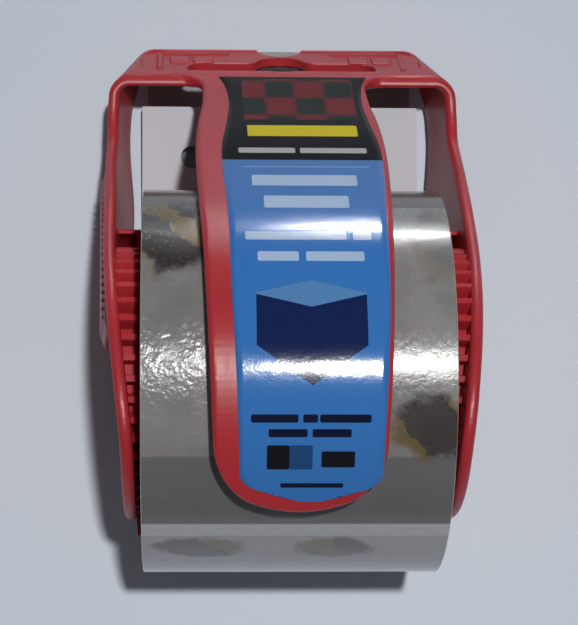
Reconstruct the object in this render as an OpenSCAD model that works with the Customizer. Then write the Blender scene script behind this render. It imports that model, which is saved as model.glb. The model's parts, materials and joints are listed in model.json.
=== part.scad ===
// Hand-held packing-tape dispenser: a red moulded frame with a sloping head,
// two cheeks that carry the core, a springy label arm, and a roll of clear tape.
// It lies on its back: +Z is away from the table, +Y is towards the head,
// and X is the roll's axis. Millimetres.
//
// Outlines are written as [u, v]: u along +Y and v along +Z, both from the roll's
// axis. place() then puts that axis where the whole part is centred on the origin.

/* [Tape roll] */
// Outside diameter of the wound tape
tape_od = 63; // [58:0.5:63]
// Width of the tape
tape_w = 48; // [44:1:48]
// Inside diameter of the cardboard core
core_id = 38.1; // [37:0.1:39]
// Wall of the cardboard core
core_wall = 2; // [1.2:0.1:2.4]
// Thickness of the printed wrap on the core
wrap_t = 0.15; // [0.1:0.05:0.3]

/* [Frame moulding] */
// Thickness of the cheeks and of the head's plate
wall = 2; // [1.8:0.1:2.2]
// Half the outside width across the cheeks' necks
neck_x = 30.6; // [30:0.1:31]
// Half the outside width of the head's back edge
head_back_x = 25.7; // [25:0.1:27]
// How far the cheeks lean inwards past the neck, in degrees
lean = 4.9; // [3:0.1:4.9]
// Distance from the roll's axis to the head's back edge
head_u = 65.6; // [64:0.1:67]
// Half the width across the grips' ribs, the widest place of the part
grip_x = 31.8; // [31.4:0.1:32.4]

/* [Label arm] */
// Thickness of the arm
arm_t = 1.8; // [1.4:0.1:1.8]
// Thickness of the stuck-on label
label_t = 0.12; // [0.08:0.02:0.2]
// How far the label is stuck off the arm's centre line
label_dx = 1.6; // [0:0.1:1.6]

/* [Core hubs] */
// Inside radius of each open hub
hub_bore_r = 15.8; // [14:0.1:16]
// Radius of the hub's spigot at its root, inside the core
spigot_r = 18.6; // [18:0.1:18.7]
// Number of ribs round the hub's outside
hub_ribs = 42; // [24:1:48]

/* [Card and blade] */
// Width of the starter card
card_w = 50; // [40:1:50]
// Thickness of the starter card
card_t = 0.4; // [0.3:0.1:0.5]
// Thickness of the steel cutter
blade_t = 0.5; // [0.4:0.1:0.6]

/* [Hidden] */
$fn = 96;

red = [0.72, 0.10, 0.12];
roll_r = tape_od / 2;
core_r = core_id / 2;
y_mid = (head_u - roll_r) / 2;
past = 1;                       // how far a cut runs past a face
gap = 0.05;                     // running clearance at a flex line

// Head, seen from the side
lip = [56.5, -16.1];            // the front lip's outer edge
head_v = -30.6;                 // the back edge's height
slope = [head_u - lip[0], head_v - lip[1]] / norm([head_u - lip[0], head_v - lip[1]]);
slope_out = [-slope[1], slope[0]];
run = norm([head_u - lip[0], head_v - lip[1]]);    // the plate's length down the slope
slot_s = 5.5;                   // from the lip down the slope to the middle of the hang slot
slot_l = 33.6;
slot_h = 6.2;
slot_dome_r = 4.9;
notch_d = 8.2;                  // thumb notch in the back edge
in_lip = lip - wall * slope_out - 8 * slope;
in_back = [head_u, head_v] - wall * slope_out + 2 * slope;
cheek_u = 48;                   // where the cheeks flex
seat = 0.35;                    // from a flex axis to the face that it is seated in
wall_back_v = -29.4;            // the back edge of the head's side walls
head_wall = wall + 0.4;

// Label arm: the outer line from the head's lip, over the roll, to the round tip
arm_line = [[56.5, -16.1], [47.6, -4.2], [38.7, 7.7], [25.6, 22.6], [14.1, 32.0],
            [4, 35.6], [-7.5, 37.1], [-16.1, 34.9], [-23.2, 28.2]];
arm_dir = (arm_line[1] - arm_line[0]) / norm(arm_line[1] - arm_line[0]);
arm_out = [arm_dir[1], -arm_dir[0]];
arm_seat = 0.45;
arm_axis = lip + 1.5 * arm_dir - arm_t / 2 * arm_out;
arm_half = 14.25;               // half the width of the arm's root

// Cheeks
bend_u = 20;                    // the neck is straight above this, and leans below it
plate_x = neck_x - wall;        // the neck's inner face
cheek_x = neck_x - wall / 2;    // the flex axis
grip_u = 22.6;                  // the middle rib of the grip
rib_pitch = 1.35;
rib_w = 0.7;
rib_h = 0.6;

// Hubs
ring_r = 22;
ring_wall = 1.6;
pocket = 0.8;
ring_x = tape_w / 2 + 0.4;      // the ring stands this far from the middle
spigot_in = 4;                  // how far the spigot reaches into the core
spigot_taper = 1.0;
flange_r = 25.5;
hub_fit = 0.02;
web_t = 0.9;
sleeve_r = 17.4;

// Cutter
blade_w = 46;
tooth = 1.2;

// A smooth line through hand-placed points
function at(p, i) = p[max(0, min(len(p) - 1, i))];
function curve_point(p, i, t) =
    0.5 * ((2 * at(p, i)) + (at(p, i + 1) - at(p, i - 1)) * t
    + (2 * at(p, i - 1) - 5 * at(p, i) + 4 * at(p, i + 1) - at(p, i + 2)) * t * t
    + (3 * at(p, i) - at(p, i - 1) - 3 * at(p, i + 1) + at(p, i + 2)) * t * t * t);
function curve(p, steps) =
    [for (i = [0 : len(p) - 2], k = [0 : steps - 1]) curve_point(p, i, k / steps),
     p[len(p) - 1]];
function side(p, i) = let (d = at(p, i + 1) - at(p, i - 1)) [d[1], -d[0]] / norm(d);
function shifted(p, by) = [for (i = [0 : len(p) - 1]) at(p, i) + by * side(p, i)];
function arc(centre, r, from, to, steps) =
    [for (i = [0 : steps]) let (a = from + (to - from) * i / steps) centre + r * [cos(a), sin(a)]];
function backwards(p) = [for (i = [len(p) - 1 : -1 : 0]) p[i]];
// Half widths along u, as the outline [x, u] of a strip that is symmetrical in X
function strip(half) = concat(half, backwards([for (h = half) [-h[0], h[1]]]));

module place() translate([0, -y_mid, roll_r]) children();
// An outline [u, v] as a prism from x0 to x1
module across(x0, x1) translate([x0, 0, 0]) rotate([90, 0, 90]) linear_extrude(x1 - x0) children();
// An outline [x, u] as a prism from v0 to v1
module upright(v0, v1) translate([0, 0, v0]) linear_extrude(v1 - v0) children();
module leaned() translate([plate_x, bend_u, 0]) rotate([0, 0, -lean]) translate([-plate_x, -bend_u, 0]) children();
// A tube or disc about the roll's axis
module about_axis(r, x0, x1) translate([x0, 0, 0]) rotate([0, 90, 0]) cylinder(r = r, h = x1 - x0);
module two_sided() { children(); mirror([1, 0, 0]) children(); }

module head_outside() intersection() {
    across(-neck_x - past, neck_x + past)
        polygon([[cheek_u + seat, lip[1]], lip, [head_u, head_v],
                 [head_u - 1.6, head_v], [cheek_u + seat, wall_back_v]]);
    upright(-40, -10)
        polygon(strip([[neck_x + 0.2, cheek_u + seat], [neck_x - 0.2, lip[0]],
                       [head_back_x + 1.6, head_u - 1.6], [head_back_x, head_u]]));
}

// The room under the plate and between the side walls
module head_inside() intersection() {
    across(-neck_x, neck_x)
        polygon([in_lip, in_back, [cheek_u - past, in_back[1]], [cheek_u - past, in_lip[1]]]);
    upright(-40, -5)
        polygon(strip([[neck_x + 0.2 - head_wall, cheek_u - past], [neck_x - 0.4 - head_wall, lip[0] - 1],
                       [head_back_x - wall, head_u + 1]]));
}

// Places an outline [x, along the slope] on the head's plate, cut right through it
module through_plate() {
    angle = atan2(slope[1], slope[0]);
    translate([0, lip[0], lip[1]]) rotate([angle, 0, 0]) translate([0, 0, -wall - past])
        linear_extrude(wall + 2 * past) children();
}

// The slot for a display peg, widened by a dome towards the back edge
module hang_slot() {
    translate([0, slot_s]) {
        square([slot_l - slot_h, slot_h], center = true);
        for (s = [-1, 1]) translate([s * (slot_l - slot_h) / 2, 0]) circle(d = slot_h);
        translate([0, 2]) circle(r = slot_dome_r);
    }
}

module head() color(red) place() {
    difference() {
        union() {
            difference() {
                head_outside();
                head_inside();
                through_plate() hang_slot();
                // thumb notch in the back edge
                through_plate() translate([0, run + 0.4]) circle(d = notch_d);
                // grooves that the cheeks' round ends flex in
                two_sided() translate([cheek_x, cheek_u, -40]) cylinder(r = wall / 2 + gap, h = 30);
            }
            // seat of the label arm
            across(-arm_half, arm_half)
                polygon([lip, lip + (1.5 - arm_seat) * arm_dir,
                         lip + (1.5 - arm_seat) * arm_dir - arm_t * arm_out,
                         lip - (wall + 0.4) * slope_out + 1.5 * slope, lip + slope - 0.5 * slope_out]);
        }
        translate([0, arm_axis[0], arm_axis[1]]) about_axis(arm_t / 2 + gap, -arm_half - past, arm_half + past);
    }
}

// Side outline of a cheek's leaned disc
module disc_outline()
    polygon(concat([[bend_u + 0.4, 10.7], [12.1, 19.1], [5.3, 22.6], [-1, 25], [-6, 26], [-10, 25.6],
                    [-14, 23.4], [-18.5, 18], [-22.2, 10]],
                   arc([2, -2.4], 24.6, 172, 270, 10), [[bend_u + 0.4, -28.2]]));

module neck_outline()
    polygon([[cheek_u, -16.6], [45.3, -15.6], [41, -11.6], [30.4, 1.3], [bend_u, 11.1],
             [bend_u, -28.2], [cheek_u, -29]]);

// The raised grip pad on the outside, with straight ribs across it
module grip_outline()
    polygon([[38.5, -20], [38.5, -12], [35.5, -7.5], [28, 1], [20, 7.5], [12, 10.5], [7.5, 8],
             [7.5, -20], [11, -24], [34, -25]]);

module grip_pad() {
    across(plate_x + 0.6, grip_x - rib_h) grip_outline();
    intersection() {
        across(plate_x + 1, grip_x) grip_outline();
        union() for (i = [-10 : 10])
            translate([plate_x + 0.8, grip_u + i * rib_pitch, -30]) cube([5, rib_w, 50]);
    }
}

module cheek() difference() {
    union() {
        across(plate_x, neck_x) neck_outline();
        translate([cheek_x, cheek_u, -29]) cylinder(r = wall / 2, h = 12.4);
        leaned() across(plate_x, neck_x) disc_outline();
        grip_pad();
    }
    about_axis(sleeve_r, 20, 36);
}

module right_cheek() color(red) place() cheek();
module left_cheek() color(red) place() mirror([1, 0, 0]) cheek();

// What lies inside the neck's plate
module inboard() intersection() {
    children();
    translate([0, -40, -40]) cube([plate_x - hub_fit, 80, 80]);
}

module spigot() {
    translate([tape_w / 2 - spigot_in, 0, 0]) rotate([0, 90, 0])
        cylinder(r1 = spigot_r - spigot_taper, r2 = spigot_r, h = spigot_in + 0.4);
    about_axis(spigot_r, ring_x, 30);
}

module hub() difference() {
    union() {
        intersection() {
            union() {
                spigot();
                difference() {
                    about_axis(ring_r, ring_x, 30);
                    about_axis(ring_r - ring_wall, ring_x - past, 31);
                    for (i = [0 : hub_ribs - 1]) rotate([i * 360 / hub_ribs, 0, 0])
                        translate([ring_x - past, -0.95, ring_r - pocket]) cube([31, 1.9, 2]);
                }
                // wider flange round the back half
                difference() {
                    about_axis(flange_r, ring_x, 30);
                    about_axis(ring_r - pocket - 0.1, ring_x - past, 31);
                    translate([20, -40, 0]) cube([20, 80, 40]);
                }
            }
            inboard() leaned() translate([0, -40, -40]) cube([plate_x - hub_fit, 80, 80]);
        }
        // web against the cheek, and the sleeve through it
        intersection() {
            about_axis(ring_r - pocket, 20, 32);
            inboard() leaned() translate([plate_x - web_t, -40, -40]) cube([web_t - hub_fit, 80, 80]);
        }
        intersection() {
            about_axis(sleeve_r - hub_fit, 22, 32);
            leaned() translate([plate_x - web_t, -40, -40]) cube([web_t + wall, 80, 80]);
        }
    }
    about_axis(hub_bore_r, 10, 40);
}

module right_core_hub() color(red) place() hub();
module left_core_hub() color(red) place() mirror([1, 0, 0]) hub();

module label_arm() color(red) place() {
    outer = curve(arm_line, 5);
    intersection() {
        union() {
            across(-20, 20) difference() {
                polygon(concat(outer, backwards(shifted(outer, -arm_t))));
                // the root ends at the flex axis
                translate(arm_axis) rotate(atan2(arm_dir[1], arm_dir[0])) translate([-10, -5]) square([10, 10]);
            }
            translate([0, arm_axis[0], arm_axis[1]]) about_axis(arm_t / 2, -arm_half, arm_half);
        }
        upright(-30, 50) union() {
            polygon(strip([[13, -16], [13.5, -7], [14.4, 14], [15.05, 25], [15.5, 39],
                           [14.8, 45], [arm_half, 50], [arm_half, 60]]));
            polygon(strip([[7, -26], [7, -16]]));
            translate([0, -19]) square([26, 7], center = true);
            for (s = [-1, 1]) translate([s * 7, -20]) circle(r = 6);
        }
    }
}

module front_label() color("royalblue") place() {
    outer = curve(arm_line, 5);
    intersection() {
        across(-20, 20) polygon(concat(shifted(outer, label_t), backwards(shifted(outer, 0))));
        translate([label_dx, 0, 0]) upright(-30, 50) union() {
            polygon(strip([[10.75, -16], [11.1, -8], [11.8, 7], [12.4, 25], [12.9, 34],
                           [12.4, 41], [11.3, 49], [12.2, 54]]));
            polygon(strip([[5.5, -22], [5.5, -16]]));
            for (s = [-1, 1]) translate([s * 5.5, -16.7]) circle(r = 5.25);
        }
    }
}

module cutter_blade() color("silver") place() {
    root = run - 1.9;
    teeth = round(blade_w / tooth);
    x0 = -teeth * tooth / 2;
    translate([0, lip[0], lip[1]]) rotate([atan2(slope[1], slope[0]), 0, 0])
        translate([0, 0, -wall - hub_fit - blade_t]) linear_extrude(blade_t) difference() {
            polygon(concat([[-x0, root - 3.6], [x0, root - 3.6]],
                           [for (i = [0 : 2 * teeth]) [x0 + i * tooth / 2, root + (i % 2) * 0.9]]));
            translate([0, run]) circle(d = notch_d + 1);
        }
}

module tube(r_out, r_in) difference() {
    about_axis(r_out, -tape_w / 2, tape_w / 2);
    about_axis(r_in, -tape_w / 2 - past, tape_w / 2 + past);
}

module core() color("peru") place() tube(core_r + core_wall, core_r);
module core_wrap() color("goldenrod") place() tube(core_r + core_wall + wrap_t, core_r + core_wall);
module tape_roll() color([0.8, 0.8, 0.78, 0.5]) place() tube(roll_r, core_r + core_wall + wrap_t);

// The tape's free end, from the roll's back to the cutter
module tape_tail() color([0.85, 0.85, 0.85, 0.5]) place()
    across(-tape_w / 2, tape_w / 2)
        translate([9, -roll_r + 0.05]) square([head_u - 0.4 - 9, 0.2]);

module starter_card() color("white") place() {
    card_end = 13;
    card_l = 41;
    card_rise = 3.9;
    translate([0, card_end, -roll_r + 0.3]) rotate([card_rise, 0, 0]) linear_extrude(card_t) difference() {
        translate([-card_w / 2, 0]) square([card_w, card_l]);
        // hang slot
        translate([0, card_l - 9.2]) {
            square([32, 4], center = true);
            for (s = [-1, 1]) translate([s * 16, 0]) circle(d = 4);
        }
    }
}

head();
left_cheek();
right_cheek();
label_arm();
front_label();
cutter_blade();
left_core_hub();
right_core_hub();
core();
core_wrap();
tape_roll();
tape_tail();
starter_card();
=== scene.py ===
"""Looks of the packing-tape dispenser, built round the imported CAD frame.

Shapes are worked out in millimetres round the roll's axis: x along the axis, u towards the head and
v away from the table. put() turns such points into the frame's metres.
"""
import json
import math

import bmesh
import bpy
import numpy as np
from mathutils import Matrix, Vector


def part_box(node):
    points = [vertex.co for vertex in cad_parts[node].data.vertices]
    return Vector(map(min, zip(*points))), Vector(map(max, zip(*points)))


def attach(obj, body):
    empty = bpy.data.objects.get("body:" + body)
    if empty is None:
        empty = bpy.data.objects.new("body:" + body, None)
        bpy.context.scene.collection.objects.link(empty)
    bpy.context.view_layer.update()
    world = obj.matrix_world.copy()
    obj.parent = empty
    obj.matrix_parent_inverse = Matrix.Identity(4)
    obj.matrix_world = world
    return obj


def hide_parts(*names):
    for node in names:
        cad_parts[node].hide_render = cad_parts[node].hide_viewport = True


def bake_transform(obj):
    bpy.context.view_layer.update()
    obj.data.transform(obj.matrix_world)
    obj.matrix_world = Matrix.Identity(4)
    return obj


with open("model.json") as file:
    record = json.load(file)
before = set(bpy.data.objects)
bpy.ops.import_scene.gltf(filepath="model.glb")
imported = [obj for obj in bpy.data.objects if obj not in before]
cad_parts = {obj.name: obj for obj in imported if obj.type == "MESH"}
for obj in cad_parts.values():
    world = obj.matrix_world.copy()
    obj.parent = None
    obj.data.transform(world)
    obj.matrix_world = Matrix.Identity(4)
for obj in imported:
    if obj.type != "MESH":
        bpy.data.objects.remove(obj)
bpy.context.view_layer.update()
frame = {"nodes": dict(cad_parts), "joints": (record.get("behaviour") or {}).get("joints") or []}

MM = 0.001
joints = {j["name"]: j for j in frame["joints"]}


def height_of(name):
    """A CAD node's height in millimetres."""
    low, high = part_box(name)
    return (high.z - low.z) / MM


AXIS = np.array(joints["roll_spin"]["pos_m"]) / MM
ROLL_R = height_of("tape_roll") / 2
WRAP_OUT = height_of("core_wrap") / 2
TAPE_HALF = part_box("tape_roll")[1].x / MM
CHEEK_CUT = joints["right_cheek_flex"]["pos_m"][1] / MM - AXIS[1]
ARM_ROOT = np.array(joints["arm_flex"]["pos_m"])[1:] / MM - AXIS[1:]
FINE = 1.0


def put(points):
    """Millimetres round the roll's axis to metres in the frame."""
    return (np.asarray(points, float) + AXIS) * MM


# ---------------------------------------------------------------- signed distances

FAR = 1e9


def both(a, b, r=0.0):
    """Where both shapes are, with a convex edge of radius r."""
    if not r:
        return np.maximum(a, b)
    return np.minimum(np.maximum(a, b), -r) + np.hypot(np.maximum(a + r, 0), np.maximum(b + r, 0))


def either(a, b, r=0.0):
    """Where one of the shapes is, with a concave fillet of radius r."""
    return -both(-a, -b, r)


def smooth(x, knots):
    """A smooth curve through (x, y) knots."""
    kx, ky = np.array(knots, float).T
    slope = np.gradient(ky, kx)
    x = np.clip(x, kx[0], kx[-1])
    i = np.clip(np.searchsorted(kx, x) - 1, 0, len(kx) - 2)
    h = kx[i + 1] - kx[i]
    t = (x - kx[i]) / h
    return (
        (1 + 2 * t) * (1 - t) ** 2 * ky[i]
        + t * (1 - t) ** 2 * h * slope[i]
        + t * t * (3 - 2 * t) * ky[i + 1]
        + t * t * (t - 1) * h * slope[i + 1]
    )


def spline(points, steps):
    """A Catmull-Rom line through the points."""
    p = np.array(points, float)
    ends = np.vstack([p[0], p, p[-1]])
    t = np.arange(steps)[:, None] / steps
    out = []
    for a, b, c, d in zip(ends, ends[1:], ends[2:], ends[3:]):
        square, cube = 2 * a - 5 * b + 4 * c - d, 3 * b - a - 3 * c + d
        out.append(0.5 * (2 * b + (c - a) * t + square * t**2 + cube * t**3))
    return np.vstack([*out, p[-1:]])


def outline_distance(u, v, pts):
    """Signed distance to a closed outline, below 0 inside it."""
    near = np.full(np.broadcast(u, v).shape, FAR)
    inside = np.zeros(near.shape, bool)
    for (au, av), (bu, bv) in zip(pts, np.roll(pts, -1, axis=0)):
        eu, ev = bu - au, bv - av
        wu, wv = u - au, v - av
        t = np.clip((wu * eu + wv * ev) / (eu * eu + ev * ev), 0, 1)
        near = np.minimum(near, (wu - eu * t) ** 2 + (wv - ev * t) ** 2)
        crosses = (av > v) != (bv > v)
        inside ^= crosses & (wu < eu * wv / (ev or 1))
    return np.sqrt(near) * np.where(inside, -1, 1)


def line_distance(u, v, pts):
    """Signed distance to an open line, above 0 on its outer side, and the length along it.

    The first and the last stretch carry on past the line's ends.
    """
    near = np.full(np.broadcast(u, v).shape, FAR)
    sign = np.ones(near.shape)
    along = np.zeros(near.shape)
    gone = 0.0
    beyond = 9
    for k, ((au, av), (bu, bv)) in enumerate(zip(pts, pts[1:])):
        eu, ev = bu - au, bv - av
        length = math.hypot(eu, ev)
        wu, wv = u - au, v - av
        t = (wu * eu + wv * ev) / (length * length)
        t = np.clip(t, -beyond if k == 0 else 0, beyond if k == len(pts) - 2 else 1)
        d = (wu - eu * t) ** 2 + (wv - ev * t) ** 2
        closer = d < near
        near = np.where(closer, d, near)
        sign = np.where(closer, np.sign(wu * ev - wv * eu), sign)
        along = np.where(closer, gone + t * length, along)
        gone += length
    return np.sqrt(near) * sign, along


def rounded_box(a, b, half_a, half_b, r):
    """Signed distance to a flat rectangle with rounded corners."""
    p, q = np.abs(a) - half_a + r, np.abs(b) - half_b + r
    return np.minimum(np.maximum(p, q), 0) + np.hypot(np.maximum(p, 0), np.maximum(q, 0)) - r


# ---------------------------------------------------------------- skin of a field


def gradient(field, p):
    """The field's slope at each point."""
    step = 0.02
    g = np.empty_like(p)
    for k in range(3):
        d = np.zeros(3)
        d[k] = step
        g[:, k] = (field(*(p + d).T) - field(*(p - d).T)) / (2 * step)
    return g


CORNERS = np.array([(i, j, k) for i in (0, 1) for j in (0, 1) for k in (0, 1)])
EDGES = [(a, b) for a in range(8) for b in range(a + 1, 8) if np.abs(CORNERS[a] - CORNERS[b]).sum() == 1]


def cell_points(f):
    """The grid cells that the surface crosses, and one point in each, in steps from the grid's corner."""
    inside = f < 0
    corners = [inside[i : i - 1 or None, j : j - 1 or None, k : k - 1 or None] for i, j, k in CORNERS]
    count = sum(corner.astype(np.int8) for corner in corners)
    cells = np.argwhere((count > 0) & (count < 8))
    values = np.stack([f[tuple((cells + c).T)] for c in CORNERS], 1)
    total = np.zeros((len(cells), 3))
    hits = np.zeros(len(cells))
    for a, b in EDGES:
        fa, fb = values[:, a], values[:, b]
        hit = (fa < 0) != (fb < 0)
        t = np.where(hit, fa / np.where(hit, fa - fb, 1), 0)[:, None]
        total += np.where(hit[:, None], CORNERS[a] + (CORNERS[b] - CORNERS[a]) * t, 0)
        hits += hit
    return cells, cells + total / hits[:, None]


def cell_quads(inside, cells):
    """A quad round each grid edge that the surface crosses, joining the four cells beside it."""
    number = np.full([n - 1 for n in inside.shape], -1)
    number[tuple(cells.T)] = np.arange(len(cells))
    quads = []
    for k in range(3):
        first = np.take(inside, range(inside.shape[k] - 1), axis=k)
        second = np.take(inside, range(1, inside.shape[k]), axis=k)
        at = np.argwhere(first != second)
        p, q = (k + 1) % 3, (k + 2) % 3
        for across in (p, q):
            at = at[(at[:, across] > 0) & (at[:, across] < inside.shape[across] - 1)]
        dp, dq = np.eye(3, dtype=int)[p], np.eye(3, dtype=int)[q]
        ring = np.stack([number[tuple((at - o).T)] for o in (dp + dq, dq, 0 * dp, dp)], 1)
        leaving = first[tuple(at.T)]
        quads.append(np.where(leaving[:, None], ring, ring[:, ::-1]))
    return np.vstack(quads)


def skin(field, low, high, step):
    """Points and quads of the surface where field is 0, drawn onto it exactly."""
    axes = [np.arange(a, b + step, step) for a, b in zip(low, high)]
    grids = np.meshgrid(*axes, indexing="ij", sparse=True)
    f = np.broadcast_to(field(*grids), [len(a) for a in axes]).astype(np.float32)
    cells, points = cell_points(f)
    quads = cell_quads(f < 0, cells)
    points = np.array(low) + step * points
    for _ in range(3):
        g = gradient(field, points)
        size = np.maximum((g * g).sum(1), 0.2)
        shift = field(*points.T) / size
        points = points - np.clip(shift, -step / 2, step / 2)[:, None] * g
    return points, quads


def on_side(side, points, quads):
    """A skin as it is for side 1, or its mirror image across the middle for side -1."""
    return (points, quads) if side > 0 else (points * (-1, 1, 1), quads[:, ::-1])


def linked(name, data):
    """A new object in the scene."""
    obj = bpy.data.objects.new(name, data)
    bpy.context.scene.collection.objects.link(obj)
    return obj


def mesh_object(name, points, faces, material):
    """A smooth-shaded mesh from points in millimetres round the roll's axis."""
    mesh = bpy.data.meshes.new(name)
    mesh.from_pydata(put(points).tolist(), [], [list(map(int, f)) for f in faces])
    mesh.update()
    obj = linked(name, mesh)
    mesh.shade_smooth()
    mesh.materials.append(material)
    return obj


def cut(obj, point, normal, remove):
    """Cuts obj's mesh at a plane, deletes the faces beyond it that remove() picks and closes the hole."""
    bm = bmesh.new()
    bm.from_mesh(obj.data)
    at = Vector(put(point))
    across = Vector(normal)
    everything = bm.verts[:] + bm.edges[:] + bm.faces[:]
    bmesh.ops.bisect_plane(bm, geom=everything, plane_co=at, plane_no=across, dist=1e-7)
    gone = []
    for face in bm.faces:
        middle = face.calc_center_median()
        if (middle - at).dot(across) > 0 and remove(np.array(middle) / MM - AXIS):
            gone.append(face)
    bmesh.ops.delete(bm, geom=gone, context="FACES")
    loose = [e for e in bm.edges if not e.link_faces]
    bmesh.ops.delete(bm, geom=loose, context="EDGES")
    bmesh.ops.holes_fill(bm, edges=[e for e in bm.edges if e.is_boundary], sides=0)
    bm.to_mesh(obj.data)
    bm.free()


SHARPEST = 0.75


def true_normals(obj, field):
    """Shades obj by the field's own slope, except where a face turns sharply away from it."""
    mesh = obj.data
    spots = np.empty(len(mesh.vertices) * 3)
    mesh.vertices.foreach_get("co", spots)
    slope = gradient(field, spots.reshape(-1, 3) / MM - AXIS)
    slope /= np.linalg.norm(slope, axis=1)[:, None] + 1e-9
    loop_vert = np.empty(len(mesh.loops), int)
    mesh.loops.foreach_get("vertex_index", loop_vert)
    normals = np.empty(len(mesh.polygons) * 3)
    mesh.polygons.foreach_get("normal", normals)
    sizes = np.empty(len(mesh.polygons), int)
    mesh.polygons.foreach_get("loop_total", sizes)
    flat = np.repeat(normals.reshape(-1, 3), sizes, axis=0)
    loops = slope[loop_vert]
    sharp = (loops * flat).sum(1) < SHARPEST
    loops[sharp] = flat[sharp]
    mesh.normals_split_custom_set(loops.tolist())


# ---------------------------------------------------------------- the frame moulding

WALL = 2.0
LIP = np.array([56.5, -16.1])
BACK = np.array([65.6, -30.6])
SLOPE = (BACK - LIP) / np.linalg.norm(BACK - LIP)
SLOPE_OUT = np.array([-SLOPE[1], SLOPE[0]])
PLATE_RUN = np.linalg.norm(BACK - LIP)

# half the outside width at the rim, how the sides lean with depth, and the rim's own height, along u
RIM_HALF = [(-24, 26.9), (-12, 27.3), (-5, 28.0), (5, 29.15), (12, 29.8), (20, 30.45), (30, 30.75),
            (50, 30.75), (54, 30.4), (57, 29.7), (61, 29.0), (66, 28.1)]
LEAN = [(-24, 0.005), (10, 0.01), (25, 0.05), (40, 0.13), (66, 0.15)]
RIM_V = [(-24, 10), (-12, 24), (-5, 25.8), (5, 22.5), (12, 18.5), (20, 11.5), (30, 1.8), (42, -13),
         (46, -16), (66, -16)]

RIM_LINE = [(75, -16.1), (60, -16.1), (53.9, -16.1), (49.5, -16.3), (45.6, -15.6), (42, -12.6), (36, -5.4),
            (30.4, 1.3), (25, 6.6), (20, 11.5), (12.1, 18.6), (4, 23), (-5, 25.6), (-12, 24.6), (-18, 19.4),
            (-21.8, 11.5), (-22.9, 2), (-21.6, -8.5), (-16, -19.2), (-7, -25.5), (4, -27.2), (20, -28.3),
            (35, -28.9), (48, -29.4), (62, -30.6), (75, -30.6)]
OUTLINE = spline(RIM_LINE, 6)

ARM_T = 1.8
ARM_START = 6.0
ARM_LINE = [tuple(LIP + ARM_START * SLOPE), tuple(LIP + ARM_START / 2 * SLOPE), tuple(LIP), (47.6, -4.2),
            (38.6, 8.0), (25.6, 23.3), (19.8, 28.6), (14.1, 32.7), (4.5, 36.5), (-1.5, 37.2), (-9.5, 36.2),
            (-16.3, 33.5), (-23.7, 27.7)]
ARM_DIR = (ARM_LINE[3] - LIP) / np.linalg.norm(ARM_LINE[3] - LIP)


def lengths(line):
    """The length from a line's start to each of its points."""
    return np.r_[0, np.cumsum(np.hypot(*np.diff(line, axis=0).T))]


def eased(line, step, rounds):
    """A line laid out in even steps with its waves smoothed away; its ends stay."""
    length = lengths(line)
    even = np.linspace(0, length[-1], int(length[-1] / step) + 1)
    line = np.stack([np.interp(even, length, line[:, k]) for k in (0, 1)], 1)
    for _ in range(rounds):
        line[1:-1] = (line[:-2] + 2 * line[1:-1] + line[2:]) / 4
    return line


ARM_CURVE = eased(spline(ARM_LINE, 9), 1.2, 16)
ARM_LENGTH = np.hypot(*np.diff(ARM_CURVE, axis=0).T).sum() - ARM_START
# half the arm's width against the length along it from the head's lip
ARM_HALF = [(-6, 14.25), (6, 14.25), (12, 14.4), (20, 15.1), (30, 15.5), (50, 15.05), (64, 14.4),
            (84, 13.5), (96, 13.0), (110, 12.8)]
FLARE_R = 5.2
TIP_BOW = 5.0
TIP_HALF = 13
TIP_R = 5.5


def plate_place(u, v):
    """Length down the head's plate from the lip, and height over its outer face."""
    du, dv = u - LIP[0], v - LIP[1]
    return du * SLOPE[0] + dv * SLOPE[1], du * SLOPE_OUT[0] + dv * SLOPE_OUT[1]


def half_width(u, v):
    """Half the moulding's outside width."""
    return smooth(u, RIM_HALF) + smooth(u, LEAN) * (v - smooth(u, RIM_V))


def shell(x, u, v):
    """The cheeks and the head: a bent wall with a bull-nosed rim."""
    down, over = plate_place(u, v)
    outside = both(np.abs(x) - half_width(u, v), over, 3.2)
    wall = np.abs(outside + WALL / 2) - WALL / 2
    return both(wall, outline_distance(u, v, OUTLINE), 0.9)


def arm(x, u, v):
    """The label arm, flared where it leaves the head."""
    out, along = line_distance(u, v, ARM_CURVE)
    along = along - ARM_START
    reach = np.clip(FLARE_R - along, 0, FLARE_R)
    flare = FLARE_R - np.sqrt(FLARE_R**2 - reach**2)
    half = smooth(along, ARM_HALF) + flare
    tip = along - ARM_LENGTH + TIP_BOW * (np.abs(x) / TIP_HALF) ** 2
    ends = np.maximum(both(np.abs(x) - half, tip * 0.9, TIP_R), -along - ARM_START / 2)
    return both(np.abs(out + ARM_T / 2) - ARM_T / 2, ends * 0.95, 0.8)


# openings in the head's plate: the hang slot with its dome, and the thumb notch at the far edge
SLOT_DOWN = 5.5
SLOT_HALF = (16.8, 3.1)
SLOT_R = 2.9
DOME_DOWN = 7.5
DOME_R = 4.9
NOTCH_BEYOND = 0.4
NOTCH_R = 4.1
# the shallow panel round them, and what stands up in each half of it
PANEL_DEEP = 0.35
PANEL = (0, 9.3, 25.0, 6.9, 4.5)
RAISED = [(14.0, 10.4, 1.75, 1.8, 0.3), (18.2, 10.4, 1.75, 1.8, 0.3), (21.8, 8.8, 0.45, 4.6, 0.4),
          (15.5, 14.2, 6.2, 0.45, 0.4)]


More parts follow.
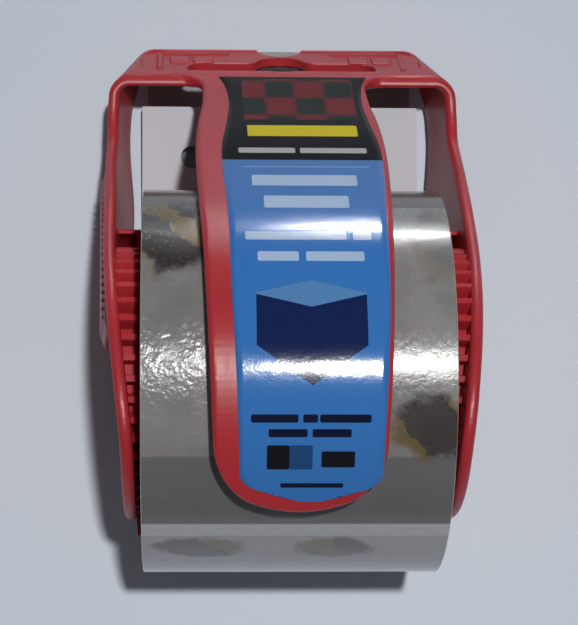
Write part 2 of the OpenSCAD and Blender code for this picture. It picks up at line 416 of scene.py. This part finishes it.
def plate_cuts(x, u, v):
    """What is taken out of the head's plate."""
    down, over = plate_place(u, v)
    slot = rounded_box(x, down - SLOT_DOWN, *SLOT_HALF, SLOT_R)
    dome = np.hypot(x, down - DOME_DOWN) - DOME_R
    notch = np.hypot(x, down - PLATE_RUN - NOTCH_BEYOND) - NOTCH_R
    through = either(either(slot, dome, 1.2), notch)
    through = np.maximum(through, -over - WALL - 2)
    across, middle, half_x, half_down, corner = PANEL
    panel = rounded_box(x - across, down - middle, half_x, half_down, corner)
    recess = np.maximum(panel, -(over + PANEL_DEEP))
    for side in (-1, 1):
        for across, middle, half_x, half_down, corner in RAISED:
            cell = rounded_box(x - side * across, down - middle, half_x, half_down, corner)
            recess = np.maximum(recess, -cell)
    return either(through, recess)


def moulding(x, u, v):
    """The whole frame moulding."""
    whole = either(shell(x, u, v), arm(x, u, v), 0.6)
    return both(whole, -plate_cuts(x, u, v), 0.25)


CHEEK_BORE = 16.6


def cheek_field(x, u, v):
    """The cheeks with their bores."""
    return both(shell(x, u, v), CHEEK_BORE - np.hypot(u, v), 0.4)


def build_head(material):
    """The head, cut off where the cheeks and the arm take up their motions."""
    points, quads = skin(moulding, (-32, 46, -32), (32, 67.5, -12.5), 0.34 * FINE)
    obj = mesh_object("head_moulding", points, quads, material)
    cut(obj, (0, *ARM_ROOT), (0, *ARM_DIR), lambda p: abs(p[0]) < 22)
    cut(obj, (0, CHEEK_CUT, 0), (0, -1, 0), lambda p: True)
    true_normals(obj, moulding)
    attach(obj, "frame")
    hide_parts("head")


def bend(obj):
    """Bakes obj's placement into its mesh."""
    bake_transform(obj)


def build_arm(material):
    """The label arm, from the head to its tip."""
    points, quads = skin(moulding, (-21, -27, -19), (21, 57, 39), 0.42 * FINE)
    obj = mesh_object("label_arm_moulding", points, quads, material)
    cut(obj, (0, *ARM_ROOT), (0, *-ARM_DIR), lambda p: True)
    true_normals(obj, moulding)
    bend(obj)
    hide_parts("label_arm")


def build_cheek(name, side, material):
    """One cheek, cut off where it meets the head."""
    points, quads = on_side(side, *skin(cheek_field, (23.2, -25, -31), (32.5, 49.5, 28), 0.36 * FINE))
    obj = mesh_object(name + "_moulding", points, quads, material)
    cut(obj, (0, CHEEK_CUT, 0), (0, 1, 0), lambda p: True)
    true_normals(obj, cheek_field)
    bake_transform(obj)
    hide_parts(name)


# ---------------------------------------------------------------- hubs and grips

RIBS = 42
RING_R = 22.0
POCKET_R = 19.2
RING_BORE = 17.6
RING_FACE = 24.6
SPIGOT_R = 18.6
SPIGOT_END = 20.1
FLANGE_R = 25.5
FLANGE_BORE = 20.5
FLANGE_FACE = 24.4
FLANGE_WALL = 0.8
SLEEVE_R = 17.4
HUB_BORE = 15.8


def hub_field(x, u, v):
    """One hub ring without its ribs, with its spigot; the left one is its mirror image."""
    r = np.hypot(u, v)
    x = np.abs(x)
    inner_face = half_width(u, v) - WALL
    ring = both(both(r - POCKET_R + 0.15, RING_BORE - r), RING_FACE - x, 0.25)
    flange = both(both(r - FLANGE_R, FLANGE_BORE - r), np.maximum(FLANGE_FACE - x, v), 0.35)
    hollow_ring = both(r - FLANGE_R + FLANGE_WALL, RING_R + 0.3 - r)
    hollow = both(hollow_ring, np.maximum(FLANGE_FACE + 0.7 - x, -9 - v), 0.3)
    flange = both(flange, -hollow, 0.15)
    taper = np.clip(FLANGE_FACE - x, 0, 9) * 0.25
    spigot = both(r - SPIGOT_R + taper, SPIGOT_END - x, 0.4)
    web = both(r - POCKET_R + 0.1, inner_face - 0.9 - x)
    solid = both(either(either(ring, flange), either(spigot, web, 0.4)), x - inner_face - 0.15)
    sleeve = both(r - SLEEVE_R, x - inner_face - WALL - 0.25, 0.2)
    sleeve = np.maximum(sleeve, inner_face - 0.5 - x)
    return both(either(solid, sleeve), HUB_BORE - r, 0.3)


def build_hub(name, side, material):
    """One hub's ring, flange, spigot and the sleeve in its cheek."""
    points, quads = on_side(side, *skin(hub_field, (19.6, -26.2, -26.2), (32, 26.2, 26.2), 0.3 * FINE))
    obj = mesh_object(name + "_moulding", points, quads, material)
    true_normals(obj, hub_field)
    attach(obj, name.replace("core_hub", "cheek"))
    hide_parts(name)


# one rib, as (share of the pitch, share of the rib's height)
RIB_SHAPE = [(0.0, 0.0), (0.03, 0.85), (0.07, 1.0), (0.22, 1.0), (0.36, 1.0), (0.40, 0.85), (0.43, 0.0),
             (0.6, 0.0), (0.8, 0.0)]
# the loops of the ribbed band, as (x, depth under the pockets, share of the ribs' height), with None
# for x where a loop lies in the cheek
RIB_LOOPS = [(24.55, 1.3, 0.0), (24.4, 0.2, 0.9), (24.55, 0.0, 1.0), (25.5, 0.0, 1.0), (27, 0.0, 1.0),
             (None, 0.0, 1.0), (None, 1.3, 0.0)]


def band_faces(loops, around, flip=1):
    """Quads between each closed loop of points and the next, and from the last to the first."""
    faces = []
    for k in range(loops):
        a, b = k * around, (k + 1) % loops * around
        for i in range(around):
            j = (i + 1) % around
            faces.append((a + i, a + j, b + j, b + i)[::flip])
    return faces


def build_ribs(name, side, material):
    """The ribbed outside of a hub ring: one toothed band from its free edge to the cheek."""
    pitch = 2 * math.pi / RIBS
    turn = np.array([(k + share) * pitch for k in range(RIBS) for share, _ in RIB_SHAPE])
    high = np.array([share for _ in range(RIBS) for _, share in RIB_SHAPE])
    loops = []
    for x, lower, rise in RIB_LOOPS:
        r = POCKET_R - lower + high * (RING_R - POCKET_R) * rise
        u, v = r * np.cos(turn), r * np.sin(turn)
        wall = half_width(u, v) - WALL + 0.15
        loops.append(np.stack([side * (wall if x is None else np.minimum(x + 0 * u, wall)), u, v], 1))
    faces = band_faces(len(loops), len(turn), side)
    obj = mesh_object(name + "_ribs", np.concatenate(loops), faces, material)
    obj.data.set_sharp_from_angle(angle=math.radians(40))
    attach(obj, name.replace("core_hub", "cheek"))


GRIP_LINE = [(38.3, -17), (38.0, -12.4), (35.2, -8), (28, 0.8), (20.5, 6.6), (13.5, 9.2), (9, 8.4),
             (7.6, 4), (7.2, -9), (7.8, -18), (11.5, -22.6), (22, -24.4), (33, -24.2), (37.4, -21.8),
             (38.3, -17)]
GRIP_OUTLINE = spline(GRIP_LINE, 5)[:-1]
GRIP_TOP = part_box("right_cheek")[1].x / MM
GRIP_FOOT = 28.6
GRIP_RIM = 0.9
RIB_PITCH = 1.35
RIB_HALF = 0.52
RIB_HIGH = 0.6
RIB_MIDDLE = 22.95


def grip_field(x, u, v):
    """The raised grip outside a cheek, with straight ribs across it."""
    x = np.abs(x)
    edge = outline_distance(u, v, GRIP_OUTLINE)
    wave = np.abs(np.mod(u - RIB_MIDDLE + RIB_PITCH / 2, RIB_PITCH) - RIB_PITCH / 2)
    rib = np.clip((RIB_HALF - wave) / 0.3, 0, 1)
    rib = rib * rib * (3 - 2 * rib) * np.clip((-edge - GRIP_RIM) / 0.5, 0, 1)
    fall = 0.055 * np.maximum(v + 10, 0)
    top = GRIP_TOP - 0.02 - RIB_HIGH + RIB_HIGH * rib - fall
    return both(both(edge, (x - top) * 0.7, 0.5), GRIP_FOOT - x)


def build_grip(name, side, material):
    """The ribbed grip of one cheek."""
    points, quads = on_side(side, *skin(grip_field, (28, 6, -25.5), (32.4, 39.5, 10.5), 0.27 * FINE))
    obj = mesh_object(name + "_grip", points, quads, material)
    true_normals(obj, grip_field)
    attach(obj, name)


# ---------------------------------------------------------------- label

LABEL_DX = 1.6
LABEL_TOP = 0.1
LABEL_UNDER = 0.015
LABEL_START = 0.9
LABEL_END = 102.0
# half the label's width against the length along the arm
LABEL_HALF = [(0, 13.2), (4, 12.2), (12, 11.4), (22, 11.9), (32, 12.85), (42, 12.85), (50, 12.4),
              (72, 11.8), (84, 11.2), (98, 10.75), (106, 10.7)]
# the rounded end: how long it is, how far its corners draw in and how far its middle bows out
CROWN = 3.4
CROWN_IN = 5.5
CROWN_BOW = 1.6
BLUE_FROM = 37.1


def label_rows():
    """Lengths along the arm, with closer rows at both ends of the label."""
    first = LABEL_START + 1.2
    last = LABEL_END - 5
    closing = last + 5 * np.sin(np.linspace(0, math.pi / 2, 16))
    return np.unique(np.r_[np.linspace(LABEL_START, first, 7), np.linspace(first, last, 150), closing])


def on_arm(along, lift):
    """Points of the arm's outer surface at a length from the lip, lifted off it."""
    length = lengths(ARM_CURVE) - ARM_START
    uv = np.stack([np.interp(along, length, ARM_CURVE[:, k]) for k in (0, 1)], 1)
    step = np.gradient(uv, axis=0)
    out = np.stack([step[:, 1], -step[:, 0]], 1) / np.linalg.norm(step, axis=1)[:, None]
    return uv + out * lift


def build_label(materials):
    """The film on the arm: a thin closed sheet that carries its flat print position as print_mm."""
    rows = label_rows()
    in_crown = np.clip(rows - (LABEL_END - CROWN), 0, CROWN) / CROWN
    half = smooth(rows, LABEL_HALF) - CROWN_IN * (1 - np.sqrt(1 - in_crown**2))
    across = np.linspace(-1, 1, 25)
    bow = CROWN_BOW * (1 - across**2)
    wide = half[:, None] * across
    along = rows[:, None] + bow * in_crown[:, None] ** 2
    spots, back = np.unique(along.ravel(), return_inverse=True)
    x = LABEL_DX + wide.ravel()
    sheets = [np.c_[x, on_arm(spots, lift)[back]] for lift in (LABEL_TOP, LABEL_UNDER)]
    n, m = along.shape
    faces = []
    for i in range(n - 1):
        for j in range(m - 1):
            a = i * m + j
            faces.append((a, a + m, a + m + 1, a + 1))
            faces.append(tuple(n * m + q for q in (a, a + 1, a + m + 1, a + m)))
    right = [i * m + m - 1 for i in range(1, n)]
    bottom = range(n * m - 2, (n - 1) * m - 1, -1)
    left = [i * m for i in range(n - 2, 0, -1)]
    rim = [*range(m), *right, *bottom, *left]
    for a, b in zip(rim, rim[1:] + rim[:1]):
        faces.append((a, b, b + n * m, a + n * m))
    obj = mesh_object("front_label_film", np.concatenate(sheets), faces, materials[0])
    obj.data.materials.append(materials[1])
    flat = np.tile(np.stack([wide, along, 0 * along], 2).reshape(-1, 3), (2, 1))
    for face in obj.data.polygons:
        face.material_index = int(flat[face.vertices[0], 1] > BLUE_FROM)
    place = obj.data.attributes.new("print_mm", "FLOAT_VECTOR", "POINT")
    place.data.foreach_set("vector", flat.astype(np.float32).ravel())
    bend(obj)
    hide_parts("front_label")


# ---------------------------------------------------------------- tape

SEED = 7
WAVES = 60
CRINKLE = 0.05
CRINKLE_MOST = 0.07


def crinkled(t, w):
    """How far the film stands out at each turn and place across, in millimetres."""
    rng = np.random.default_rng(SEED)
    crinkle = np.zeros(t.shape)
    for _ in range(WAVES):
        waves_t = rng.integers(14, 170)
        waves_x = rng.uniform(-0.5, 0.5)
        wave = np.sin(waves_t * t + waves_x * w + rng.uniform(0, 7))
        crinkle += wave / (8 + waves_t) * rng.uniform(0.4, 1)
    patchy = 0.5 + 0.5 * np.sin(3 * t + 0.16 * w + 1.2) * np.sin(0.13 * w - 2 * t + 0.4)
    return np.clip(crinkle * CRINKLE * (0.3 + patchy), -CRINKLE_MOST, CRINKLE_MOST)


def wound_edge(sign, turn):
    """Loops down one side of the roll, from just under its outside to the core's wrap."""
    loops = []
    for radius in (ROLL_R - 0.28, *np.linspace(ROLL_R - 1.2, WRAP_OUT + 0.02, 9)):
        wobble = 0.03 * np.sin(3 * turn + radius) + 0.02 * np.sin(radius * 9)
        edge = TAPE_HALF - 0.05 + wobble if radius < ROLL_R - 0.5 else TAPE_HALF - 0.02 + 0 * turn
        x = sign * np.minimum(edge, TAPE_HALF)
        loops.append(np.stack([x, radius * np.sin(turn), radius * np.cos(turn)], 1))
    return loops


def build_roll(material):
    """The wound film: a ring with a crinkled outside and the wound edges of the film."""
    around, wide = int(900 / FINE), int(110 / FINE)
    turn = np.arange(around) * 2 * math.pi / around
    x = np.linspace(-TAPE_HALF + 0.12, TAPE_HALF - 0.12, wide)
    t, w = np.meshgrid(turn, x, indexing="ij")
    r = ROLL_R - 0.09 + crinkled(t, w)
    ring = np.stack([w, r * np.sin(t), r * np.cos(t)], 2)
    loops = [*(ring[:, k] for k in range(wide)), *wound_edge(1, turn), *wound_edge(-1, turn)[::-1]]
    faces = band_faces(len(loops), around)
    obj = mesh_object("tape_roll_film", np.concatenate(loops), faces, material)
    obj.data.set_sharp_from_angle(angle=math.radians(40))
    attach(obj, "roll")
    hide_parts("tape_roll")


# ---------------------------------------------------------------- materials


def node(tree, kind, inputs=None, out=0, **settings):
    """Adds a shader node, sets it up and returns one of its outputs."""
    made = tree.nodes.new("ShaderNode" + kind)
    for key, value in settings.items():
        setattr(made, key, value)
    for key, value in (inputs or {}).items():
        if isinstance(value, bpy.types.NodeSocket):
            tree.links.new(value, made.inputs[key])
        else:
            made.inputs[key].default_value = value
    return made.outputs[out]


def calc(tree, what, a, b=0.0):
    """One sum of one or two values."""
    return node(tree, "Math", {0: a, 1: b}, operation=what)


def times(tree, a, b):
    """The product of two values."""
    return calc(tree, "MULTIPLY", a, b)


def scaled(tree, value, by, plus):
    """value * by + plus."""
    return node(tree, "Math", {0: value, 1: by, 2: plus}, operation="MULTIPLY_ADD")


def mix(tree, share, a, b):
    """Colour a where share is 0 and b where it is 1."""
    return node(tree, "Mix", {0: share, 6: a, 7: b}, out=2, data_type="RGBA")


def ramp(tree, value, low, high):
    """0 where value is at low, 1 where it is at high, and smooth between them."""
    limits = {"Value": value, "From Min": low, "From Max": high}
    return node(tree, "MapRange", limits, interpolation_type="SMOOTHSTEP")


def colour(r, g, b):
    """An sRGB colour of 0 to 255 as a linear one."""
    linear = [(c / 255 / 12.92) if c < 11 else ((c / 255 + 0.055) / 1.055) ** 2.4 for c in (r, g, b)]
    return (*linear, 1)


def new_material(name, **sockets):
    """A principled material with some of its sockets set, its tree and its shader."""
    made = bpy.data.materials.new(name)
    made.use_nodes = True
    tree = made.node_tree
    shader = tree.nodes["Principled BSDF"]
    for key, value in sockets.items():
        shader.inputs[key.replace("_", " ")].default_value = value
    return made, tree, shader


def join(tree, value, shader, socket):
    """Feeds value into one of the shader's sockets."""
    tree.links.new(value, shader.inputs[socket])


def object_mm(tree):
    """Where a point is on its piece, in millimetres round the roll's axis."""
    spot = node(tree, "TexCoord", out=3)
    spot = node(tree, "VectorMath", {0: spot, 1: tuple(-AXIS * MM)}, operation="ADD")
    return node(tree, "VectorMath", {0: spot, "Scale": 1 / MM}, operation="SCALE")


def stretched(tree, spot, by):
    """A place multiplied along each axis."""
    return node(tree, "VectorMath", {0: spot, 1: by}, operation="MULTIPLY")


def noise(tree, spot, scale, detail=3.0, rough=0.5, stretch=None):
    """Smooth noise from 0 to 1 at a place in millimetres."""
    if stretch:
        spot = stretched(tree, spot, stretch)
    return node(tree, "TexNoise", {"Vector": spot, "Scale": scale, "Detail": detail, "Roughness": rough})


def bump(tree, height, distance_mm, strength):
    """A normal tilted by a height of 0 to 1."""
    return node(tree, "Bump", {"Height": height, "Distance": distance_mm * MM, "Strength": strength})


def red_plastic(name, level, least_rough):
    """Moulded red plastic, a little uneven in colour, with fine scuffs and orange peel."""
    made, tree, shader = new_material(name, IOR=1.49, Specular_IOR_Level=level)
    spot = object_mm(tree)
    soft = noise(tree, spot, 0.06, 2.0)
    flow = noise(tree, spot, 0.35, 4.0, 0.6, (1.0, 0.25, 0.25))
    base = mix(tree, ramp(tree, soft, 0.35, 0.65), (0.41, 0.023, 0.032, 1), (0.47, 0.029, 0.038, 1))
    base = mix(tree, times(tree, flow, 0.16), base, (0.34, 0.016, 0.024, 1))
    join(tree, base, shader, "Base Color")
    scuff = noise(tree, spot, 1.1, 6.0, 0.65, (1.0, 0.12, 1.0))
    join(tree, scaled(tree, scuff, 0.16, least_rough), shader, "Roughness")
    fine = times(tree, noise(tree, spot, 6.0, 2.0), 0.18)
    peel = calc(tree, "ADD", noise(tree, spot, 0.9, 2.0), fine)
    join(tree, bump(tree, peel, 0.03, 0.35), shader, "Normal")
    return made


# stretches of the film in another tone, as (first, last, colour) in millimetres round the outside
STRETCHES = [(15.7, 28.4, (102, 102, 105)), (-60, -29.5, (86, 78, 74)), (28.5, 31.5, (184, 186, 192)),
             (31.6, 70, (163, 164, 167))]
# where the printed core shows through, as (middle across, middle round, half across, half round, strength)
BLOTS = [(-20, -23, 8, 10, 0.95), (20, 11, 7, 5.5, 0.85), (-15, 35, 8, 3.4, 0.6), (6, 35, 7, 3.4, 0.6),
         (22, -20, 5, 9, 0.3), (-18, 70, 9, 9, 0.7), (12, -70, 9, 12, 0.7)]


def film_tones(tree, flat, turn):
    """The grey of the film: cloudy, with stretches in other tones round the roll."""
    cloudy = noise(tree, flat, 0.07, 5.0, 0.6)
    base = mix(tree, ramp(tree, cloudy, 0.3, 0.7), colour(121, 120, 120), colour(143, 142, 141))
    soft = 0.25
    for first, last, tint in STRETCHES:
        after = ramp(tree, turn, first - soft, first + soft)
        before = ramp(tree, turn, last + soft, last - soft)
        base = mix(tree, times(tree, times(tree, after, before), 0.85), base, colour(*tint))
    return base


def core_print(tree, base, x, turn, flat):
    """The film with the slanted bands of the core's print showing through it in blots."""
    slant = calc(tree, "ADD", x, times(tree, turn, -0.9))
    band = calc(tree, "SINE", times(tree, slant, 0.42))
    patch = noise(tree, flat, 0.22, 4.0, 0.6)
    band = calc(tree, "ADD", band, times(tree, calc(tree, "SUBTRACT", patch, 0.5), 3.0))
    ink = mix(tree, ramp(tree, band, 0.35, 0.6), colour(46, 38, 38), colour(104, 86, 38))
    for across, round_, half_across, half_round, strength in BLOTS:
        du = calc(tree, "DIVIDE", calc(tree, "SUBTRACT", x, across), half_across)
        dt = calc(tree, "DIVIDE", calc(tree, "SUBTRACT", turn, round_), half_round)
        far = calc(tree, "ADD", times(tree, du, du), times(tree, dt, dt))
        far = calc(tree, "ADD", far, times(tree, patch, 1.6))
        base = mix(tree, times(tree, ramp(tree, far, 1.9, 1.3), strength), base, ink)
    return base


def film_relief(tree, x, turn, flat, fleck, wound):
    """Creases and flecks on the film, livelier on the left of its front, and the wound edges' rings."""
    wide = stretched(tree, flat, (0.9, 1.3, 1.0))
    creases = node(tree, "TexVoronoi", {"Vector": wide, "Scale": 0.8}, feature="SMOOTH_F1")
    lively = scaled(tree, ramp(tree, x, 2.0, -10.0), 2.2, 0.4)
    lively = times(tree, lively, ramp(tree, noise(tree, flat, 0.28, 3.0), 0.42, 0.56))
    lively = times(tree, lively, ramp(tree, turn, -15.0, -9.0))
    facets = node(tree, "TexVoronoi", {"Vector": flat, "Scale": 1.25}, feature="F1")
    creases = calc(tree, "ADD", creases, times(tree, facets, lively))
    height = calc(tree, "ADD", times(tree, creases, 0.5), times(tree, fleck, 0.8))
    return calc(tree, "ADD", height, times(tree, wound, 1.2))


def tape_film():
    """Clear film wound on a printed core: grey, with what lies under it showing through in patches."""
    made, tree, shader = new_material("wound_clear_film", IOR=1.5, Coat_Weight=0.6, Coat_Roughness=0.12)
    spot = object_mm(tree)
    x, u, v = (node(tree, "SeparateXYZ", {0: spot}, out=k) for k in range(3))
    turn = times(tree, calc(tree, "ARCTAN2", times(tree, u, -1.0), v), ROLL_R)
    flat = node(tree, "CombineXYZ", {0: x, 1: turn})
    base = core_print(tree, film_tones(tree, flat, turn), x, turn, flat)
    radius = calc(tree, "SQRT", calc(tree, "ADD", times(tree, u, u), times(tree, v, v)))
    rings = noise(tree, node(tree, "CombineXYZ", {0: radius}), 3.2, 3.0)
    side = ramp(tree, calc(tree, "ABSOLUTE", x), TAPE_HALF - 0.16, TAPE_HALF - 0.1)
    base = mix(tree, side, base, mix(tree, rings, colour(150, 146, 138), colour(178, 174, 166)))
    join(tree, base, shader, "Base Color")
    fleck = noise(tree, flat, 1.3, 5.0, 0.7)
    join(tree, scaled(tree, ramp(tree, fleck, 0.3, 0.75), 0.22, 0.11), shader, "Roughness")
    height = film_relief(tree, x, turn, flat, fleck, times(tree, rings, side))
    join(tree, bump(tree, height, 0.10, 0.5), shader, "Normal")
    return made


EDGE_SOFT = 0.06


def box_mask(tree, spot, cx, cs, hx, hs, r):
    """1 inside a rounded rectangle of the label's print, given its middle, half sizes and corner radius."""
    p = node(tree, "VectorMath", {0: spot, 1: (cx, cs, 0)}, operation="SUBTRACT")
    p = node(tree, "VectorMath", {0: p}, operation="ABSOLUTE")
    p = node(tree, "VectorMath", {0: p, 1: (hx - r, hs - r, 99)}, operation="SUBTRACT")
    p = node(tree, "VectorMath", {0: p, 1: (0, 0, 0)}, operation="MAXIMUM")
    far = node(tree, "VectorMath", {0: p}, out=1, operation="LENGTH")
    return ramp(tree, far, r + EDGE_SOFT, r - EDGE_SOFT)


# print on the label, as (colour, [(middle across, middle along, half width, half length)])
PRINT = [
    ((212, 196, 28), [(0.55, 25.8, 9.1, 2.3)]),
    ((176, 178, 182), [(-5.6, 33.6, 4.6, 0.95), (5.2, 33.6, 5.4, 0.95)]),
    ((120, 162, 214), [(0.5, 39.5, 10.1, 0.15)]),
    ((170, 196, 226), [(0.0, 44.1, 8.3, 1.75), (0.0, 50.8, 6.6, 1.75), (-2.0, 59.5, 7.7, 0.95),
                       (8.1, 59.5, 1.4, 0.95), (-4.8, 63.9, 3.1, 0.95), (3.8, 63.9, 4.4, 0.95)]),
    ((10, 20, 52), [(-5.6, 89.9, 3.5, 0.62), (-0.3, 89.9, 1.1, 0.62), (4.9, 89.9, 3.8, 0.62),
                    (-3.6, 92.1, 2.9, 0.62), (2.9, 92.1, 2.9, 0.62), (0.1, 100.6, 4.7, 0.4)]),
    ((14, 18, 26), [(-5.0, 95.9, 1.7, 1.95), (3.9, 96.2, 2.5, 1.3)]),
    ((30, 74, 128), [(-1.6, 95.9, 1.7, 1.95)]),
]
BAR_R = 0.3
# the pale top of the carton, a diamond: how far along its middle is, and its half sizes
TOP_ALONG = 70.7
TOP_HALF = (8.7, 2.26)
# the carton's sides: where their upper and lower edges meet and how fast they rise outwards
UPPER = (73.0, -0.26)
LOWER = (85.0, -0.72)
CARTON_HALF = 8.25


def carton_top(tree, x, s):
    """1 inside the diamond top of a plain carton seen from its corner."""
    across = calc(tree, "DIVIDE", calc(tree, "ABSOLUTE", x), TOP_HALF[0])
    along = calc(tree, "DIVIDE", calc(tree, "ABSOLUTE", calc(tree, "SUBTRACT", s, TOP_ALONG)), TOP_HALF[1])
    return ramp(tree, calc(tree, "ADD", across, along), 1.02, 0.98)


def carton_sides(tree, x, s):
    """1 inside the two sides of the carton."""
    out = calc(tree, "ABSOLUTE", x)
    upper, lower = (scaled(tree, out, slope, meet) for meet, slope in (UPPER, LOWER))
    below_upper = ramp(tree, calc(tree, "SUBTRACT", s, upper), -EDGE_SOFT, EDGE_SOFT)
    above_lower = ramp(tree, calc(tree, "SUBTRACT", lower, s), -EDGE_SOFT, EDGE_SOFT)
    within = ramp(tree, out, CARTON_HALF + 0.05, CARTON_HALF - 0.05)
    return times(tree, times(tree, below_upper, above_lower), within)


def chequer(tree, x, s):
    """The soft dark red and green chequer at the label's head."""
    columns = calc(tree, "SINE", times(tree, x, 0.62))
    rows = calc(tree, "SINE", times(tree, calc(tree, "ADD", s, -3.0), 0.40))
    weave = times(tree, columns, rows)
    return mix(tree, ramp(tree, weave, -0.25, 0.25), colour(24, 34, 26), colour(112, 30, 34))


def label_film(name, gloss, coat):
    """The printed film: a blue field with bars and a carton, and a black head with the chequer."""
    made, tree, shader = new_material(name, IOR=1.5, Roughness=0.14, Specular_IOR_Level=gloss,
                                      Coat_Weight=coat, Coat_Roughness=0.05)
    spot = node(tree, "Attribute", out=1, attribute_name="print_mm")
    x, s = (node(tree, "SeparateXYZ", {0: spot}, out=k) for k in range(2))
    base = mix(tree, ramp(tree, s, 36.0, 78.0), colour(52, 113, 186), colour(56, 121, 196))
    base = mix(tree, carton_top(tree, x, s), base, colour(86, 136, 190))
    base = mix(tree, carton_sides(tree, x, s), base, colour(14, 34, 84))
    base = mix(tree, ramp(tree, s, BLUE_FROM + 0.1, BLUE_FROM - 0.1), base, colour(9, 9, 12))
    base = mix(tree, box_mask(tree, spot, 0.6, 11.5, 9.6, 9.4, 0.2), base, chequer(tree, x, s))
    for tint, boxes in PRINT:
        for cx, cs, hx, hs in boxes:
            bar = box_mask(tree, spot, cx, cs, hx, hs, min(BAR_R, hs * 0.6))
            base = mix(tree, bar, base, colour(*tint))
    join(tree, base, shader, "Base Color")
    grain = noise(tree, spot, 2.2, 4.0, 0.6)
    ripple = noise(tree, spot, 0.3, 2.0, 0.5)
    height = calc(tree, "ADD", times(tree, grain, 0.30), ripple)
    join(tree, bump(tree, height, 0.06, 0.55), shader, "Normal")
    return made


def plain(name, low, high, scale, rough, grain_mm=0.02, stretch=None, **sockets):
    """A material whose colour and relief follow one fine noise."""
    made, tree, shader = new_material(name, **sockets)
    spot = object_mm(tree)
    grain = noise(tree, spot, scale, 5.0, 0.6, stretch)
    join(tree, mix(tree, grain, colour(*low), colour(*high)), shader, "Base Color")
    join(tree, scaled(tree, grain, 0.2, rough), shader, "Roughness")
    join(tree, bump(tree, grain, grain_mm, 0.5), shader, "Normal")
    return made


def dress(name, material):
    """Gives a CAD node its material."""
    mesh = frame["nodes"][name].data
    mesh.materials.clear()
    mesh.materials.append(material)


# ---------------------------------------------------------------- build

red = red_plastic("red_moulded_plastic", 0.5, 0.30)
hub_red = red_plastic("red_unpolished_plastic", 0.2, 0.45)
ink = label_film("dark_label_ink", 0.06, 0.0)
printed = label_film("printed_label_film", 0.25, 0.5)

build_head(red)
build_arm(red)
for hand, side in (("right", 1), ("left", -1)):
    build_cheek(hand + "_cheek", side, red)
    build_hub(hand + "_core_hub", side, hub_red)
    build_ribs(hand + "_core_hub", side, hub_red)
    build_grip(hand + "_cheek", side, red)
build_label([ink, printed])
build_roll(tape_film())

steel = plain("stamped_steel", (150, 152, 156), (186, 188, 192), 2.0, 0.25, 0.01, (0.1, 4, 4), Metallic=1.0)
dress("cutter_blade", steel)
dress("core", plain("spiral_board", (142, 116, 84), (176, 148, 112), 0.9, 0.75, 0.05, (0.4, 1, 1)))
dress("core_wrap", plain("printed_wrap", (150, 122, 40), (58, 62, 84), 0.2, 0.5))
dress("starter_card", plain("coated_card", (192, 193, 202), (206, 207, 216), 1.6, 0.45, 0.01))
dress("tape_tail", plain("single_film", (168, 168, 170), (190, 190, 192), 0.6, 0.12, 0.03, Alpha=0.55))


# ---------------------------------------------------------------- camera, light and table

scene = bpy.context.scene
scene.view_settings.view_transform = "Standard"

camera = linked("camera", bpy.data.cameras.new("camera"))
scene.camera = camera
camera.location = put((-17.2, -41.9, 330.9))
camera.rotation_euler = [math.radians(a) for a in (6.51, -2.06, -0.16)]
camera.data.lens = 116.24
camera.data.shift_x = 0.05
camera.data.shift_y = 0.15
camera.data.clip_start = 0.01


def area_light(name, spot, aim, size, watts, tint, spread):
    """A rectangular lamp in metres, turned towards aim, with its spread in degrees."""
    data = bpy.data.lights.new(name, "AREA")
    data.shape = "RECTANGLE"
    data.size, data.size_y = size
    data.energy = watts
    data.color = tint
    data.spread = math.radians(spread)
    lamp = linked(name, data)
    lamp.location = spot
    lamp.rotation_euler = (Vector(aim) - Vector(spot)).to_track_quat("-Z", "Y").to_euler()


area_light("ceiling_key", spot=(0.108, 0.045, 1.25), aim=put((0, 0, 0)), size=(0.055, 0.05), watts=9.5,
           tint=(1.0, 0.99, 0.97), spread=180)
area_light("low_window", spot=(0.12, 1.2, 0.056), aim=put((4, 18, 30)), size=(0.10, 0.03), watts=0.062,
           tint=(0.95, 0.97, 1.0), spread=30)

world = bpy.data.worlds.new("room")
scene.world = world
world.use_nodes = True
room = world.node_tree.nodes["Background"]
room.inputs["Color"].default_value = (0.80, 0.78, 0.81, 1)
room.inputs["Strength"].default_value = 0.13

REACH = 2
floor_mesh = bpy.data.meshes.new("table_top")
corners = [(-REACH, -REACH, 0), (REACH, -REACH, 0), (REACH, REACH, 0), (-REACH, REACH, 0)]
floor_mesh.from_pydata(corners, [], [(0, 1, 2, 3)])
table_top = linked("table_top", floor_mesh)
floor_material, _, floor_shader = new_material("pale_table", Roughness=0.5)
floor_shader.inputs["Base Color"].default_value = (0.60, 0.665, 0.765, 1)
floor_mesh.materials.append(floor_material)
